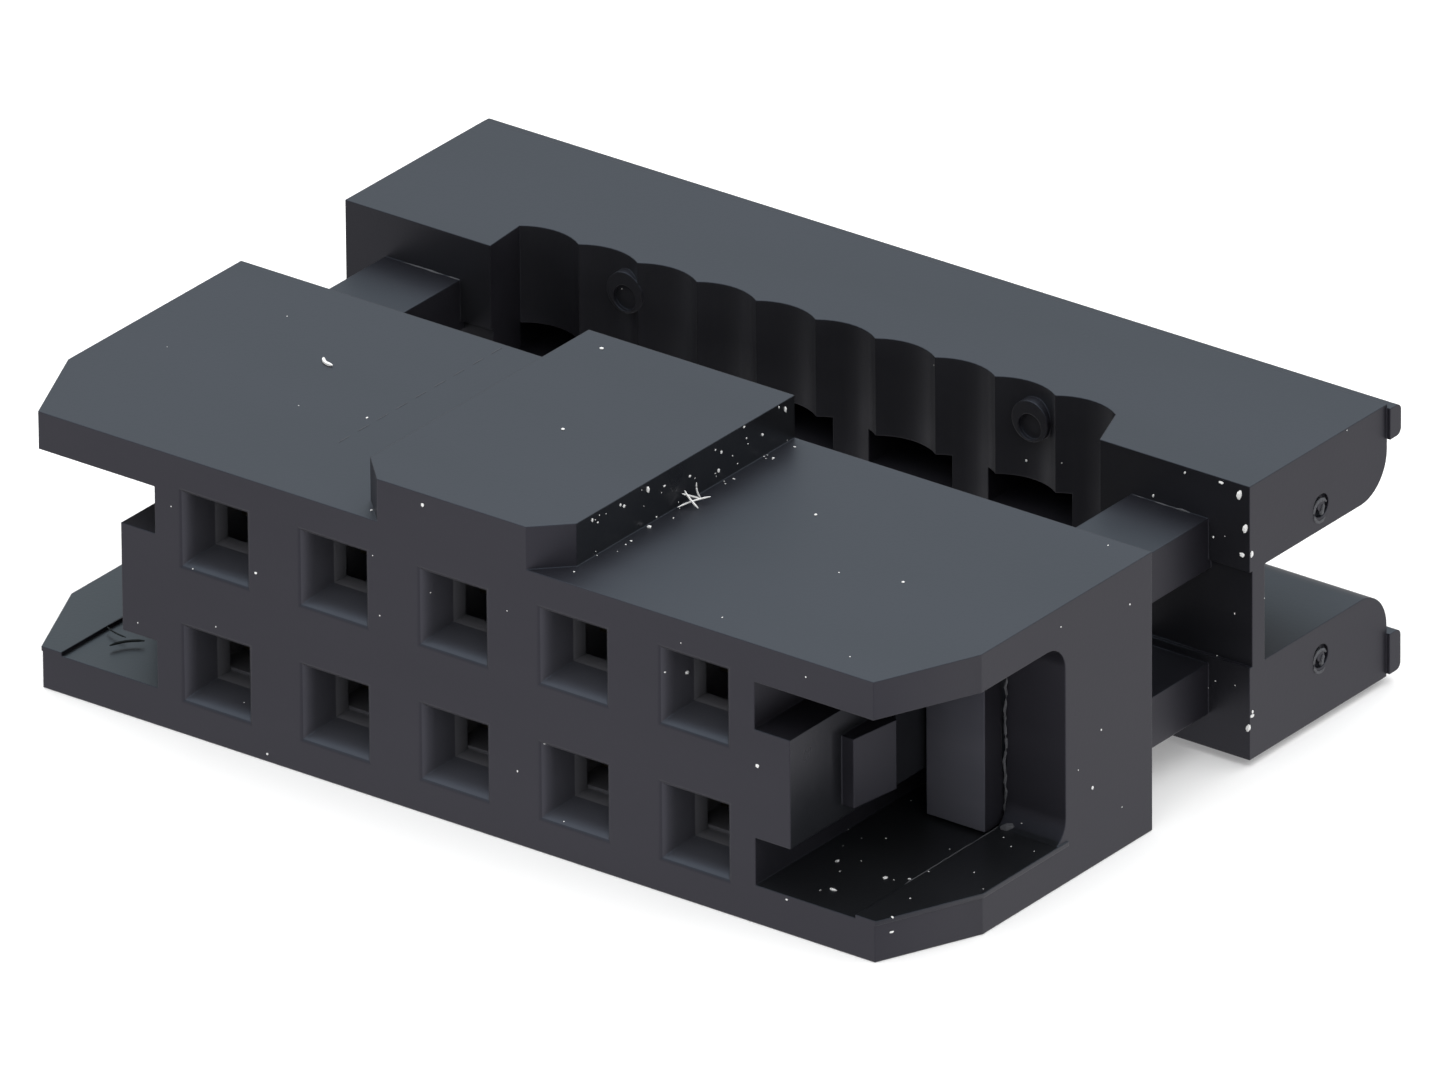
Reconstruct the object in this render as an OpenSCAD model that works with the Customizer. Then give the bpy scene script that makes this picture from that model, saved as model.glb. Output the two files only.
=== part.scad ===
// Ribbon-cable socket connector, 2 x 5 ways, with its clamp cover standing open.
// X runs along the rows of contacts, Y from the mating face back to the cable, Z up.
// Every module works with Y = 0 on the mating face and Z = 0 halfway up the housing;
// place() then sets the origin under the middle of the whole connector, on its base.

/* [Contact grid] */
// Distance between neighbouring contacts, along a row and from row to row
pitch = 2.00; // [1.90:0.05:2.20]
// How far the cable's centre line sits to the right of the middle contact
cable_shift = -0.17; // [-0.25:0.01:0]

/* [Housing] */
// Height over the two plates, without the key
housing_h = 4.12; // [4.00:0.02:4.60]
// Depth from the mating face to the back
housing_d = 5.30; // [5.10:0.05:6.00]
// Thickness of the top and bottom plates
plate_t = 0.56; // [0.40:0.02:0.62]
// Material of the contact block beyond its last column
end_margin = 1.00; // [0.90:0.05:1.20]
// How far the plates reach past the block at each end
ear_w = 2.62; // [2.50:0.02:3.00]
// Front corner cut of the plates, along X
ear_cut_x = 0.66; // [0.20:0.02:1.00]
// Front corner cut of the plates, along Y
ear_cut_y = 1.50; // [0.50:0.05:2.00]
// Depth of the side window that the latch arms flex into
window_d = 3.36; // [3.10:0.02:3.60]
// Corner radius of the side window
window_r = 0.40; // [0.10:0.05:0.60]
// Thickness of the side wall behind the window
side_wall_t = 0.98; // [0.80:0.02:1.10]
// How far the guide rail stands out of the block's end
rail_w = 0.58; // [0.40:0.02:0.66]
// Height of the guide rail
rail_h = 1.60; // [1.30:0.05:1.80]

/* [Key] */
// Width of the polarising key on top
key_w = 3.44; // [2.50:0.02:4.50]
// Height of the key above the top plate
key_h = 0.63; // [0.30:0.01:1.00]
// Cut on the key's two front corners
key_cut = 0.48; // [0.10:0.02:0.90]

/* [Sockets] */
// Width of the square mouth at the mating face
mouth_w = 1.12; // [0.90:0.02:1.20]
// Depth of the funnel behind the mouth
funnel_d = 0.50; // [0.30:0.02:0.70]
// Width of the square hole at the funnel's end
hole_w = 0.74; // [0.60:0.02:0.80]
// Thickness of the wall behind the funnel
hole_wall = 0.28; // [0.20:0.02:0.40]

/* [Contacts] */
// Thickness of the contact strip
strip_t = 0.18; // [0.15:0.01:0.20]
// Width of the contact's folded body
contact_w = 1.10; // [1.00:0.02:1.16]
// Height from the middle of the housing to the contact's floor
floor_z = 0.27; // [0.26:0.01:0.28]
// Distance from the chamber's front wall back to the contact
contact_set = 0.50; // [0.04:0.02:0.60]
// Length of the folded body and its two spring blades
contact_l = 3.20; // [3.00:0.05:3.40]
// Gap between the two spring blades at their closest point
blade_gap = 0.42; // [0.36:0.02:0.48]
// Radius of the spring blades' bow
blade_r = 1.60; // [1.50:0.05:2.00]
// Length of each bow, from its lip to the folded body
blade_l = 1.20; // [1.00:0.05:1.30]
// Height of the spring blades
blade_h = 0.56; // [0.40:0.02:0.62]
// Width of the fork that cuts into a wire
fork_w = 0.80; // [0.70:0.02:0.84]
// Width of the slot in the fork
slot_w = 0.24; // [0.16:0.02:0.30]
// Depth of the slot, from the fork's tips
slot_l = 1.35; // [1.00:0.05:1.40]
// Width of the slot's mouth between the fork's tips
throat_w = 0.62; // [0.50:0.02:0.66]
// Depth over which the mouth narrows to the slot
throat_l = 0.28; // [0.20:0.02:0.40]
// Outer corner cut of each tip, along X
tip_cut_x = 0.08; // [0.02:0.01:0.10]
// Outer corner cut of each tip, along Y
tip_cut_y = 0.30; // [0.10:0.02:0.40]
// Length of the flat neck between the folded sides and the fork
neck_l = 0.40; // [0.30:0.05:0.60]
// How far the fork stands out of the housing's back
fork_out = 1.60; // [1.40:0.05:1.75]

/* [Cover] */
// How far each end face is set in from the housing's end
end_set = 0.04; // [0.02:0.01:0.10]
// Height over the two wings
cover_h = 4.06; // [3.96:0.02:4.12]
// Depth from the end pads to the back edges
cover_d = 3.13; // [3.00:0.01:3.60]
// Thickness of the upper wing
top_wing_t = 1.27; // [1.20:0.01:1.36]
// Thickness of the lower wing
base_wing_t = 1.37; // [1.24:0.01:1.40]
// Radius on the inner back edge of each wing
wing_r = 0.60; // [0.20:0.05:0.65]
// How far the lip stands out of each wing's back edge
lip_d = 0.24; // [0.10:0.02:0.40]
// Height of the upper wing's lip
top_lip_h = 0.46; // [0.30:0.02:0.60]
// Height of the lower wing's lip
base_lip_h = 0.60; // [0.30:0.02:0.64]
// Distance from the wing's outer face to the lip
lip_set = 0.05; // [0.02:0.01:0.08]
// How far the lip reaches past each end face
lip_over = 0.06; // [0.02:0.01:0.10]
// Radius on the lip's outer corner
lip_r = 0.10; // [0.05:0.01:0.20]
// Depth of the cable bed behind the end pads
bed_d = 0.74; // [0.60:0.02:1.00]
// Width of the bed's opening between the pads
bed_mouth_w = 10.22; // [10.10:0.02:10.40]
// Depth of each wire groove in the bed
groove_d = 0.16; // [0.10:0.01:0.26]
// Width of the pocket that takes a fork
pocket_w = 1.40; // [1.20:0.02:1.60]
// Height of the pocket
pocket_h = 0.52; // [0.50:0.01:0.54]
// Depth of the fork pockets below the bed
pocket_d = 1.30; // [1.20:0.02:1.40]
// Thickness of the wall behind the fork pockets
pocket_wall = 0.25; // [0.15:0.05:0.40]
// Thickness of the rib between the upper and lower pockets
mid_rib_t = 0.12; // [0.08:0.01:0.14]
// Thickness of the web that closes the ends between the pads
web_t = 0.28; // [0.20:0.02:0.40]
// Step from the pads back to that web
web_step = 0.06; // [0.02:0.01:0.12]

/* [Latch arms] */
// Length of each arm in front of the end pads
arm_l = 4.61; // [4.55:0.01:4.70]
// Length of the crossbar at the arm's front end
crossbar_l = 0.38; // [0.30:0.01:0.40]
// Length of the stouter root in front of the end pads
root_l = 1.35; // [1.20:0.05:1.60]
// How much wider than the arm the root is, on its outer side
root_step = 0.31; // [0.20:0.01:0.36]
// Height of the catches that the crossbars pass
catch_h = 1.02; // [0.70:0.02:1.04]
// How far the catches lie below the housing's middle
catch_drop = 0.09; // [0:0.01:0.10]
// How far a catch stands out of its rail in front, where it holds the crossbar
catch_front_w = 0.20; // [0.10:0.01:0.24]
// How far a catch stands out of its rail at its highest point
catch_w = 0.31; // [0.25:0.01:0.36]
// Length of a catch up to its highest point
catch_l = 0.80; // [0.60:0.02:0.90]
// Length of the ramp behind it, where the crossbar climbs the catch
ramp_l = 0.34; // [0.20:0.02:0.50]

/* [Fit] */
// Gap between the housing's back and the cover's pads, standing open
open_gap = 2.26; // [2.10:0.02:2.40]
// Gap that is left there when the cover is pressed shut
shut_gap = 0.02; // [0.02:0.01:0.06]
// Running clearance round the latch arms and the catches
run_gap = 0.05; // [0.04:0.01:0.08]
// Clearance above the front part of each latch arm
arm_top_gap = 0.10; // [0.05:0.01:0.14]
// Clearance above and below the catches in the arm's slot
slot_gap = 0.10; // [0.06:0.01:0.16]
// How far the cover's middle lies above the housing's and the arms' middle
cover_lift = 0.08; // [0.02:0.01:0.10]
// Clearance round a contact in its chamber
contact_gap = 0.04; // [0.02:0.01:0.06]

/* [Marks] */
// Radius of the round ejector marks in the cable bed
ejector_r = 0.30; // [0.20:0.02:0.40]
// Distance of the ejector marks from the middle, along X
ejector_x = 3.40; // [2.50:0.05:4.20]
// Distance of the ejector marks from the middle, along Z
ejector_z = 1.52; // [1.30:0.02:1.60]
// Distance of the gate marks from the end pads, along Y
gate_y = 1.62; // [1.20:0.02:2.00]
// Distance of the gate marks from the cover's middle, along Z
gate_z = 1.12; // [1.00:0.02:1.40]
// Radius of the round gate marks on the wings' end faces
gate_r = 0.17; // [0.10:0.01:0.25]
// Depth of the gate marks
gate_d = 0.06; // [0.02:0.01:0.10]
// Radius of the stub that the gate leaves in each mark
stub_r = 0.08; // [0.04:0.01:0.09]

/* [Hidden] */
$fn = 48;
bow_fn = 128;
eps = 0.01;
columns = 5;
ways = 2 * columns;
wire_pitch = pitch / 2;

plastic = "#2b2d31";
plating = "#b9a679";

inner_h = housing_h - 2 * plate_t;
block_half = (columns - 1) / 2 * pitch + end_margin;
housing_half = block_half + ear_w;
rail_x = block_half + rail_w;
wall_x = housing_half - side_wall_t;

arm_x = rail_x + run_gap;
arm_w = wall_x - run_gap - arm_x;
arm_h = inner_h - run_gap - arm_top_gap;
root_w = arm_w + root_step;
root_h = inner_h - 2 * run_gap;
recess_w = root_w + 2 * run_gap;
recess_y = housing_d + shut_gap - root_l - run_gap;
cover_y = housing_d + open_gap;
travel = open_gap - shut_gap;
arm_front_y = cover_y - arm_l;
open_catch_y = arm_front_y + crossbar_l + run_gap;
shut_catch_y = open_catch_y - travel;
slot_h = catch_h + 2 * (catch_drop + slot_gap);

cover_w = 2 * (housing_half - end_set);
channel_top = cover_h / 2 - top_wing_t;
channel_base = base_wing_t - cover_h / 2;
channel_h = channel_top - channel_base;
bed_half = ways / 2 * wire_pitch;
groove_r = (pow(wire_pitch / 2, 2) + pow(groove_d, 2)) / (2 * groove_d);
core_d = bed_d + pocket_d + pocket_wall;
total_d = cover_y + cover_d + lip_d;

chamber_y = funnel_d + hole_wall;
contact_y = chamber_y + contact_set;
body_y = contact_y + blade_l;
body_end_y = contact_y + contact_l;
body_l = contact_l - blade_l;
neck_y = body_end_y - contact_gap;
slot_bottom_y = housing_d + fork_out - slot_l + slot_w / 2;
blade_top_z = pitch / 2 + blade_h / 2;
fork_tip_y = housing_d + fork_out;

// Sets the origin under the middle of the whole connector
module place() {
    translate([0, -total_d / 2, housing_h / 2]) children();
}

// A Y-Z outline carried along X, centred on X = 0
module along_x(length) {
    rotate([90, 0, 90]) linear_extrude(length, center = true) children();
}

// The same piece at both ends, or above and below
module both_ends() {
    children();
    mirror([1, 0, 0]) children();
}

module above_and_below() {
    children();
    mirror([0, 0, 1]) children();
}

function column_x(column) = (column - (columns - 1) / 2) * pitch;

// The two rows reach the wires on either side of their column
function fork_x(row) = cable_shift - row * wire_pitch / 2;

// ---- Housing ----

module housing() {
    color(plastic) place() difference() {
        union() {
            contact_block();
            above_and_below() plate();
            both_ends() side_wall();
            both_ends() guide_rail();
            key();
        }
        for (column = [0:columns - 1]) {
            socket(column, 1);
            socket(column, -1);
        }
        both_ends() root_recess();
    }
}

module contact_block() {
    translate([-block_half, 0, -housing_h / 2]) cube([2 * block_half, housing_d, housing_h]);
}

// Top plate: its front corners are cut, and it reaches past the block as two ears
module plate() {
    translate([0, 0, inner_h / 2]) linear_extrude(plate_t) polygon([
        [-housing_half + ear_cut_x, 0], [housing_half - ear_cut_x, 0],
        [housing_half, ear_cut_y], [housing_half, housing_d],
        [-housing_half, housing_d], [-housing_half, ear_cut_y]
    ]);
}

// Side wall behind the window, whose back corners are round
module side_wall() {
    translate([wall_x + side_wall_t / 2, 0, 0]) along_x(side_wall_t) difference() {
        translate([window_d - window_r, -inner_h / 2 - eps])
            square([housing_d - window_d + window_r, inner_h + 2 * eps]);
        window_outline();
    }
}

module window_outline() {
    square([2 * (window_d - window_r), inner_h], center = true);
    square([2 * window_d, inner_h - 2 * window_r], center = true);
    for (side = [-1, 1])
        translate([window_d - window_r, side * (inner_h / 2 - window_r)]) circle(window_r);
}

// Rail that guides the latch arm, with a catch for each of the cover's two positions
module guide_rail() {
    translate([block_half - eps, 0, -rail_h / 2]) cube([rail_w + eps, housing_d, rail_h]);
    for (y = [shut_catch_y, open_catch_y])
        translate([rail_x, y, -catch_drop]) catch();
}

// Square in front, where it holds the crossbar, and sloped behind, where the bar climbs it
module catch() {
    linear_extrude(catch_h, center = true) polygon([
        [-eps, 0], [catch_front_w, 0], [catch_w, catch_l], [-eps, catch_l + ramp_l]
    ]);
}

// Room at the back, between the ears, for the stout root of a latch arm
module root_recess() {
    translate([rail_x, recess_y, -inner_h / 2]) cube([recess_w, housing_d, inner_h]);
}

module key() {
    translate([0, 0, housing_h / 2 - eps]) linear_extrude(key_h + eps) polygon([
        [-key_w / 2 + key_cut, 0], [key_w / 2 - key_cut, 0],
        [key_w / 2, key_cut], [key_w / 2, housing_d],
        [-key_w / 2, housing_d], [-key_w / 2, key_cut]
    ]);
}

// Everything that is cut out for one contact: funnel, hole, chamber and fork slot
module socket(column, row) {
    chamber_w = contact_w + 2 * contact_gap;
    translate([column_x(column), 0, 0]) mirror([0, 0, row > 0 ? 0 : 1]) {
        translate([0, 0, pitch / 2]) funnel();
        translate([-hole_w / 2, 0, pitch / 2 - hole_w / 2])
            cube([hole_w, chamber_y + eps, hole_w]);
        translate([-chamber_w / 2, chamber_y, floor_z - contact_gap])
            cube([chamber_w, housing_d, blade_top_z - floor_z + 2 * contact_gap]);
        translate([fork_x(row) - fork_w / 2 - contact_gap, neck_y - contact_gap,
                   floor_z - contact_gap])
            cube([fork_w + 2 * contact_gap, housing_d, strip_t + 2 * contact_gap]);
    }
}

// Four-sided funnel: two tapered wedges, one seen from above and one from the side
module funnel() {
    intersection() {
        linear_extrude(2 * mouth_w, center = true) funnel_outline();
        rotate([0, 90, 0]) linear_extrude(2 * mouth_w, center = true) funnel_outline();
    }
}

module funnel_outline() {
    polygon([
        [-mouth_w / 2, 0], [mouth_w / 2, 0],
        [hole_w / 2, funnel_d], [-hole_w / 2, funnel_d]
    ]);
}

// ---- Contacts ----

// Ways 1, 3, 5... are the upper row and ways 2, 4, 6... the lower row
module contact(way) {
    row = way % 2 == 1 ? 1 : -1;
    color(plating) place() translate([column_x(floor((way - 1) / 2)), 0, 0])
        mirror([0, 0, row > 0 ? 0 : 1]) {
            translate([0, 0, floor_z]) linear_extrude(strip_t) floor_outline(fork_x(row));
            for (side = [0, 1]) mirror([side, 0, 0]) blade();
        }
}

// Floor of the folded body, and the fork, which starts inside it
module floor_outline(x) {
    translate([-contact_w / 2, body_y]) square([contact_w, body_l]);
    translate([x, 0]) difference() {
        translate([-fork_w / 2, neck_y]) square([fork_w, fork_tip_y - neck_y]);
        fork_slot();
        for (side = [0, 1]) mirror([side, 0]) tip_cut();
    }
}

// Slot with a round bottom and a wide throat that leads the wire in
module fork_slot() {
    translate([0, slot_bottom_y]) circle(slot_w / 2);
    translate([-slot_w / 2, slot_bottom_y]) square([slot_w, slot_l]);
    polygon([
        [-throat_w / 2, fork_tip_y], [-throat_w / 2, fork_tip_y + eps],
        [throat_w / 2, fork_tip_y + eps], [throat_w / 2, fork_tip_y],
        [slot_w / 2, fork_tip_y - throat_l], [-slot_w / 2, fork_tip_y - throat_l]
    ]);
}

// Outer corner cut that makes each tip a point
module tip_cut() {
    polygon([
        [fork_w / 2 - tip_cut_x, fork_tip_y], [fork_w / 2 - tip_cut_x, fork_tip_y + eps],
        [fork_w / 2 + eps, fork_tip_y + eps], [fork_w / 2 + eps, fork_tip_y - tip_cut_y],
        [fork_w / 2, fork_tip_y - tip_cut_y]
    ]);
}

// Folded side of the body, and the bowed blade that presses on a pin
module blade() {
    translate([contact_w / 2 - strip_t, body_y, floor_z])
        cube([strip_t, body_l - neck_l, blade_top_z - floor_z]);
    translate([0, contact_y, blade_top_z - blade_h]) linear_extrude(blade_h) intersection() {
        square([contact_w / 2, blade_l + strip_t]);
        translate([blade_gap / 2 + blade_r, blade_l / 2]) difference() {
            circle(blade_r, $fn = bow_fn);
            circle(blade_r - strip_t, $fn = bow_fn);
        }
    }
}

// ---- Cover ----

module cover() {
    color(plastic) place() translate([0, cover_y, cover_lift]) {
        difference() {
            union() {
                wing(top_wing_t, top_lip_h);
                mirror([0, 0, 1]) wing(base_wing_t, base_lip_h);
                end_web();
                core();
            }
            cable_bed();
            for (column = [0:columns - 1]) {
                fork_pocket(column, 1);
                fork_pocket(column, -1);
            }
            both_ends() above_and_below() gate_mark();
        }
        above_and_below() both_ends() ejector_mark();
        both_ends() latch_arm();
    }
}

// One wing, from its end pads to its back edge, and the lip there
module wing(wing_t, lip_h) {
    along_x(cover_w) translate([0, cover_h / 2 - wing_t]) {
        square([cover_d - wing_r, wing_t]);
        translate([0, wing_r]) square([cover_d, wing_t - wing_r]);
        translate([cover_d - wing_r, wing_r]) circle(wing_r);
    }
    along_x(cover_w + 2 * lip_over) translate([cover_d, cover_h / 2 - lip_set - lip_h]) {
        translate([-eps, 0]) square([lip_d - lip_r + eps, lip_h]);
        translate([-eps, lip_r]) square([lip_d + eps, lip_h - 2 * lip_r]);
        for (z = [lip_r, lip_h - lip_r]) translate([lip_d - lip_r, z]) circle(lip_r);
    }
}

// Thin web between the pads, out to the end faces
module end_web() {
    translate([-cover_w / 2, web_step, channel_base - eps])
        cube([cover_w, web_t, channel_h + 2 * eps]);
}

// Thick middle between the wings, which holds the fork pockets
module core() {
    half = bed_half + pocket_wall;
    translate([cable_shift - half, web_step, channel_base - eps])
        cube([2 * half, core_d - web_step, channel_h + 2 * eps]);
}

// Bed for the cable: a recess in the middle between the pads, with one shallow groove for
// each wire. The grooves stand to one side, so the recess narrows towards them unevenly.
module cable_bed() {
    linear_extrude(cover_h + 2 * eps, center = true) {
        polygon([
            [-bed_mouth_w / 2, -eps], [bed_mouth_w / 2, -eps], [bed_mouth_w / 2, 0],
            [cable_shift + bed_half, bed_d], [cable_shift - bed_half, bed_d],
            [-bed_mouth_w / 2, 0]
        ]);
        for (wire = [0:ways - 1])
            translate([cable_shift + (wire - (ways - 1) / 2) * wire_pitch,
                       bed_d + groove_d - groove_r])
                intersection() {
                    circle(groove_r);
                    translate([-wire_pitch / 2, groove_r - groove_d - eps])
                        square([wire_pitch, groove_d + 2 * eps]);
                }
    }
}

// Pocket in the core that the fork of one contact enters as the cover shuts
module fork_pocket(column, row) {
    translate([column_x(column) + fork_x(row) - pocket_w / 2, bed_d - eps,
               row > 0 ? mid_rib_t / 2 : -mid_rib_t / 2 - pocket_h])
        cube([pocket_w, pocket_d + eps, pocket_h]);
}

// Round face of an ejector pin, level with the ridges between the grooves
module ejector_mark() {
    translate([ejector_x, bed_d, ejector_z])
        rotate([-90, 0, 0]) cylinder(r = ejector_r, h = groove_d + eps);
}

// Round recess in a wing's end face, with the stub that breaks off at the gate
module gate_mark() {
    translate([cover_w / 2 - gate_d, gate_y, gate_z]) rotate([0, 90, 0]) difference() {
        cylinder(r = gate_r, h = gate_d + eps);
        cylinder(r = stub_r, h = gate_d);
    }
}

// Slotted arm that slides between the guide rail and the side wall, with a stouter root.
// The relief in its crossbar lets the bar pass the catches.
module latch_arm() {
    translate([arm_x, 0, -cover_lift]) difference() {
        union() {
            translate([0, -arm_l, run_gap - inner_h / 2])
                cube([arm_w, arm_l + web_step + web_t, arm_h]);
            translate([0, -root_l, -root_h / 2])
                cube([root_w, root_l + web_step + web_t, root_h]);
        }
        translate([-eps, -arm_l + crossbar_l, -slot_h / 2])
            cube([root_w + 2 * eps, arm_l - crossbar_l + web_step, slot_h]);
        translate([-eps, -arm_l - eps, -slot_h / 2])
            cube([catch_w + eps, crossbar_l + 2 * eps, slot_h]);
    }
}

housing();
cover();
for (way = [1:ways]) contact(way);
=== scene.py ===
# %% [markdown]
# # A ribbon-cable socket connector
#
# A black moulded connector, 15 mm wide, with its clamp cover standing open behind it.
# The solids come from a CAD model, so every size is already right. What is left to make
# here is what a mould and a workbench leave behind: edges that are never quite sharp, a
# fine matte skin, bright stamped contacts, and a little white dust.

# %% Load the frame
import math
import random
from contextlib import contextmanager

import bmesh
import bpy
from mathutils import Matrix, Vector


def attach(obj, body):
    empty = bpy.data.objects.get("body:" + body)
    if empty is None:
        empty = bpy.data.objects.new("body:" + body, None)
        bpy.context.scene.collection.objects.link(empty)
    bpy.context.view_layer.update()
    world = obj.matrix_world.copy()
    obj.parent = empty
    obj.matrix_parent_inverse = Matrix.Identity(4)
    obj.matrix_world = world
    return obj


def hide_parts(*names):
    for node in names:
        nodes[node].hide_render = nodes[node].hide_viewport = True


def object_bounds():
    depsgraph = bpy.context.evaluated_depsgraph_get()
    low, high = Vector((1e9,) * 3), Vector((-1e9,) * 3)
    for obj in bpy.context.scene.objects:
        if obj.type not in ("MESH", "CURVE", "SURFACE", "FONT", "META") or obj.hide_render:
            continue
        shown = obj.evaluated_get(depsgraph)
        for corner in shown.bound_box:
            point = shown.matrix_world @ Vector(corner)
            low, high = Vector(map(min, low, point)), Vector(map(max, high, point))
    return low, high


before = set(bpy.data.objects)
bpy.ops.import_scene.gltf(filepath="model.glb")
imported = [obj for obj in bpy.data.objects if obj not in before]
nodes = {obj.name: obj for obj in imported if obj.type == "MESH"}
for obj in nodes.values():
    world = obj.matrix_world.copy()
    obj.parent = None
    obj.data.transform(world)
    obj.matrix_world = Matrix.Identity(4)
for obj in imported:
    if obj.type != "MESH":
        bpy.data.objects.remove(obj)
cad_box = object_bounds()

MM = 0.001
HOUSING_HEIGHT = 4.12  # mm, without the key
contact_names = sorted(name for name in nodes if name.startswith("contact_"))

# Below, places on the part are in mm: y from the mating face, z from the housing's middle.
front_y = cad_box[0].y / MM
middle_z = HOUSING_HEIGHT / 2
TO_PART = Matrix.Translation((0, -front_y, -middle_z)) @ Matrix.Scale(1 / MM, 4)
TO_FRAME = TO_PART.inverted()
print("CAD box in mm:", [[round(v / MM, 2) for v in corner] for corner in cad_box])

# %% [markdown]
# ## Camera
#
# A small object that is shot from close by would show strong perspective. Here the far
# edges are almost as long as the near ones, so the camera stands 400 mm away behind a
# very long lens. It looks down a little, from the right of the mating face.

# %% Camera
AZIMUTH = math.radians(37.07)
ELEVATION = math.radians(26.07)
ROLL = math.radians(-0.48)
DISTANCE = 400 * MM
VIEW_WIDTH = 19.30 * MM
AIM = TO_FRAME @ Vector((0, 5.0, 0))
AIM_SHIFT = (0.543 * MM, 0.141 * MM)  # to the right and up, to frame the part evenly


def camera_axes():
    """Right, up and backward directions of a camera at that azimuth and elevation."""
    back = Vector((
        math.sin(AZIMUTH) * math.cos(ELEVATION),
        -math.cos(AZIMUTH) * math.cos(ELEVATION),
        math.sin(ELEVATION),
    ))
    right = Vector((math.cos(AZIMUTH), math.sin(AZIMUTH), 0))
    return right, back.cross(right), back


def make_camera():
    """The scene's camera, aimed at the middle of the housing."""
    data = bpy.data.cameras.new("camera")
    data.sensor_width = 36
    data.lens = data.sensor_width * DISTANCE / VIEW_WIDTH
    data.clip_start = 0.01
    camera = bpy.data.objects.new("camera", data)
    bpy.context.scene.collection.objects.link(camera)
    right, up, back = camera_axes()
    target = AIM + right * AIM_SHIFT[0] + up * AIM_SHIFT[1]
    camera.location = target + back * DISTANCE
    turn = Matrix((right, up, back)).transposed() @ Matrix.Rotation(ROLL, 3, "Z")
    camera.rotation_euler = turn.to_euler()
    bpy.context.scene.camera = camera
    return camera


camera = make_camera()
print("Lens in mm:", round(camera.data.lens))

# %% [markdown]
# ## Node helper
#
# A shader is a handful of nodes and the links between them. One small function adds a
# node, sets its inputs and links them, so that each material below reads like a recipe.


# %% Node helper
def node(tree, kind, settings=None, **inputs):
    """Adds a node. An input that is given as a socket is linked, anything else is its value.

    Inputs are called by name, with _ for a space, or by number, as i0 or i1.
    """
    made = tree.nodes.new(kind)
    for name, value in (settings or {}).items():
        setattr(made, name, value)
    for name, value in inputs.items():
        key = int(name[1:]) if name[0] == "i" and name[1:].isdigit() else name.replace("_", " ")
        socket = made.inputs[key]
        if isinstance(value, bpy.types.NodeSocket):
            tree.links.new(value, socket)
        else:
            socket.default_value = value
    return made


def linear(hex_colour):
    """A colour written as sRGB hex, such as 2b2d31, in the linear values that Blender mixes."""
    colour = []
    for i in (0, 2, 4):
        value = int(hex_colour[i:i + 2], 16) / 255
        colour.append(value / 12.92 if value <= 0.04045 else ((value + 0.055) / 1.055) ** 2.4)
    return (*colour, 1)


def new_material(name):
    """A material without nodes, and its empty tree."""
    material = bpy.data.materials.new(name)
    material.use_nodes = True
    material.node_tree.nodes.clear()
    return material, material.node_tree


# %% [markdown]
# ## Black polyester, moulded
#
# The housing and the cover are injection moulded from glass-filled black polyester. Such
# a plastic has almost no colour of its own: nearly all the light that it sends back is the
# weak, wide reflection of a matte skin, which grows towards grazing angles. So the base is
# close to black, and the look comes from the roughness, from a bump as fine as the
# spark-eroded mould, and from faint paler clouds where glass fibre lies near the skin. A
# bevel node rounds what the light sees of every edge, inside corners too.


# %% Plastic
def moulded_plastic(name, base, cloud, roughness=0.45, shine=0.5):
    """A plastic of one colour with clouds of another. Shine weakens or keeps its reflections."""
    material, tree = new_material(name)
    place = node(tree, "ShaderNodeTexCoord").outputs["Object"]
    # Grain of the mould: a texture scale of 1 / size gives one feature per size.
    grain = node(tree, "ShaderNodeTexNoise", Vector=place, Scale=1 / (0.05 * MM), Detail=3.0)
    # Flow clouds, about 2 mm across, stretched along the rows where the melt ran.
    along = node(tree, "ShaderNodeMapping", Vector=place, Scale=(0.3, 1.0, 1.0))
    flow = node(tree, "ShaderNodeTexNoise", Vector=along.outputs[0], Scale=1 / (1.6 * MM),
                Detail=4.0)
    tone = node(tree, "ShaderNodeMapRange", Value=flow.outputs[0], From_Min=0.35, From_Max=0.70)
    colour = node(tree, "ShaderNodeMix", {"data_type": "RGBA"}, Factor=tone.outputs[0],
                  i6=linear(base), i7=linear(cloud))
    gloss = node(tree, "ShaderNodeMapRange", Value=flow.outputs[0], From_Min=0.3, From_Max=0.7,
                 To_Min=roughness - 0.04, To_Max=roughness + 0.04)
    # The small radius that the light finds on every edge.
    edges = node(tree, "ShaderNodeBevel", {"samples": 6}, Radius=0.025 * MM)
    bump = node(tree, "ShaderNodeBump", Strength=0.25, Distance=0.004 * MM, Height=grain.outputs[0],
                Normal=edges.outputs[0])
    shader = node(tree, "ShaderNodeBsdfPrincipled", Base_Color=colour.outputs[2],
                  Roughness=gloss.outputs[0], IOR=1.50, Normal=bump.outputs[0],
                  Specular_Tint=linear("ebe9ff"), Specular_IOR_Level=shine)
    node(tree, "ShaderNodeOutputMaterial", Surface=shader.outputs[0])
    return material


housing_plastic = moulded_plastic("black_polyester_moulded", "17161a", "1f1e22")
cover_plastic = moulded_plastic("black_polyester_cover", "161519", "1e1d21")
# Painted shade: deep in the bores, and in the gap between the two mouldings, a plastic that hardly
# shines stands in for the shade.
bore_shade_plastic = moulded_plastic("black_polyester_painted_bore_shade", "505054", "58585c", shine=0.2)
gap_shade_plastic = moulded_plastic("black_polyester_painted_gap_shade", "1a1a1d", "222225", shine=0.28)
# Painted shade: a darker, smoother plastic stands in for the shade behind the windows, on the key's
# right side and on the rails.
slot_shade_plastic = moulded_plastic("black_polyester_painted_slot_shade", "151618", "1c1d1f", roughness=0.30)
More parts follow.
